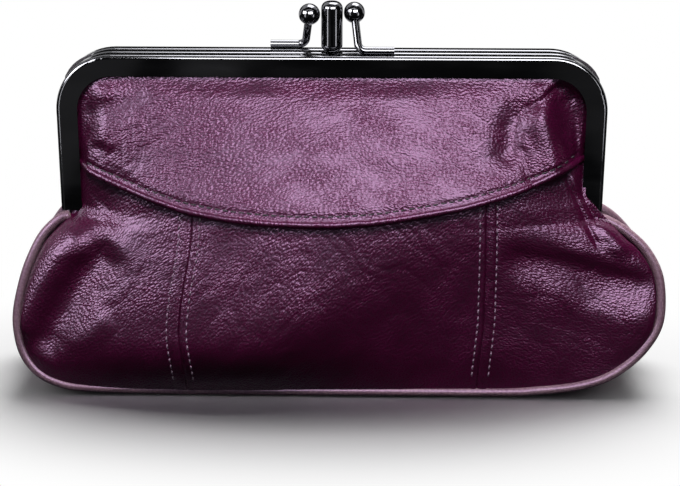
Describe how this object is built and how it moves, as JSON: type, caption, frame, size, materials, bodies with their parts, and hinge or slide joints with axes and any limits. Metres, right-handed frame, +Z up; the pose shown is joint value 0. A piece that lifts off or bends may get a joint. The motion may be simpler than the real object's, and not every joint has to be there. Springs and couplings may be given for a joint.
{
  "type": "kiss lock frame purse",
  "caption": "Soft leather purse with compartments that hang in hinged metal rails, closed on top by a kiss lock clasp of balls that snap past a centre post.",
  "frame": {"origin": "middle of the base, on the surface that the purse stands on", "axes": "+X across the purse to the right seen from the front, +Y to the back, +Z up"},
  "size_m": [0.198, 0.0494, 0.12],
  "materials": {
    "black_nickel": "gloss black nickel plate",
    "plum_leather": "fine pebbled grain, semi gloss",
    "piping_leather": "smooth stretched leather",
    "lining_cloth": "plain woven",
    "cotton_core": "twisted cotton",
    "packing_paper": "twisted paper"
  },
  "bodies": {
    "pouch": {"middle_frame": "black_nickel", "left_hinge_rivet": "black_nickel", "right_hinge_rivet": "black_nickel", "centre_clasp_post": "black_nickel", "front_left_panel": "plum_leather", "front_centre_panel": "plum_leather", "front_right_panel": "plum_leather", "back_left_panel": "plum_leather", "back_centre_panel": "plum_leather", "back_right_panel": "plum_leather", "gusset_strip": "plum_leather", "front_piping": "piping_leather", "back_piping": "piping_leather", "front_lining": "lining_cloth", "back_lining": "lining_cloth", "divider_panel": "lining_cloth", "front_piping_core": "cotton_core", "back_piping_core": "cotton_core", "middle_front_packing_cord": "packing_paper", "middle_back_packing_cord": "packing_paper"},
    "front_rail": {"front_frame": "black_nickel", "front_clasp_stem": "black_nickel", "front_clasp_ball": "black_nickel", "front_yoke": "plum_leather", "front_packing_cord": "packing_paper"},
    "back_rail": {"back_frame": "black_nickel", "back_clasp_stem": "black_nickel", "back_clasp_ball": "black_nickel", "back_yoke": "plum_leather", "back_packing_cord": "packing_paper"}
  },
  "joints": [
    {"name": "front_rail_hinge", "type": "hinge", "parent": "pouch", "child": "front_rail", "pos_m": [0, 0, 0.053], "axis": [1, 0, 0], "range_deg": [0, 55], "deforming": ["front_yoke", "front_lining"]},
    {"name": "back_rail_hinge", "type": "hinge", "parent": "pouch", "child": "back_rail", "pos_m": [0, 0, 0.053], "axis": [-1, 0, 0], "range_deg": [0, 55], "deforming": ["back_yoke", "back_lining"]}
  ]
}
